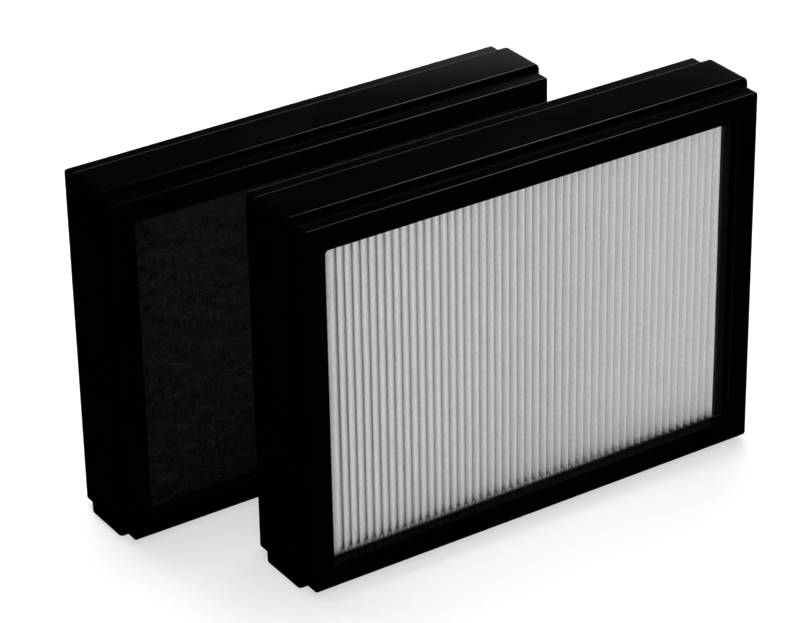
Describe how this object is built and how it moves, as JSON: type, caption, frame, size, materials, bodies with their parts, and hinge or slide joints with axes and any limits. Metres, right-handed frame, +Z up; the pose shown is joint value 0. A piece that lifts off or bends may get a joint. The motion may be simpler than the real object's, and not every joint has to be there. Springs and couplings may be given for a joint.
{
  "type": "fume extractor filter set",
  "caption": "Pair of free-standing rectangular air filter cassettes with stepped black frames: one with a white pleated medium, one with a foam-faced carbon bed.",
  "frame": {"origin": "on the ground, at the middle of the whole set's outer box", "axes": "+X along the cassettes, seen from the front to the right; +Y from the front faces to the rear faces; +Z up"},
  "size_m": [0.3116, 0.1408, 0.1974],
  "materials": {
    "frame_plastic": "black moulded plastic with a satin surface",
    "gasket_foam": "matt black closed-cell foam strip",
    "pleated_medium": "white nonwoven fibre sheet, softly fuzzy",
    "potting_resin": "black polyurethane casting resin",
    "hot_melt_thread": "milky hot-melt adhesive bead",
    "carbon_foam": "black open-cell foam with a fine wrinkled grain",
    "net_plastic": "dark extruded plastic net",
    "carbon_granules": "charred coconut-shell granules"
  },
  "bodies": {
    "hepa_cassette": {"hepa_front_frame": "frame_plastic", "hepa_rear_frame": "frame_plastic", "hepa_centre_band": "frame_plastic", "hepa_rear_gasket": "gasket_foam", "hepa_pleated_medium": "pleated_medium", "hepa_top_potting": "potting_resin", "hepa_bottom_potting": "potting_resin", "hepa_left_edge_seal": "potting_resin", "hepa_right_edge_seal": "potting_resin", "hepa_separator_thread_1": "hot_melt_thread", "hepa_separator_thread_2": "hot_melt_thread", "hepa_separator_thread_3": "hot_melt_thread", "hepa_separator_thread_4": "hot_melt_thread", "hepa_separator_thread_5": "hot_melt_thread"},
    "carbon_cassette": {"carbon_front_frame": "frame_plastic", "carbon_rear_frame": "frame_plastic", "carbon_centre_band": "frame_plastic", "carbon_rear_gasket": "gasket_foam", "carbon_front_foam": "carbon_foam", "carbon_front_net": "net_plastic", "carbon_granule_bed": "carbon_granules", "carbon_rear_net": "net_plastic", "carbon_rear_foam": "carbon_foam", "carbon_rear_grille": "frame_plastic", "carbon_top_edge_seal": "potting_resin", "carbon_bottom_edge_seal": "potting_resin", "carbon_left_edge_seal": "potting_resin", "carbon_right_edge_seal": "potting_resin"}
  },
  "joints": [
    {"name": "stack_slide", "type": "slide", "parent": "hepa_cassette", "child": "carbon_cassette", "axis": [0.8359, -0.5489, 0], "range_m": [0, 0.0641]}
  ]
}
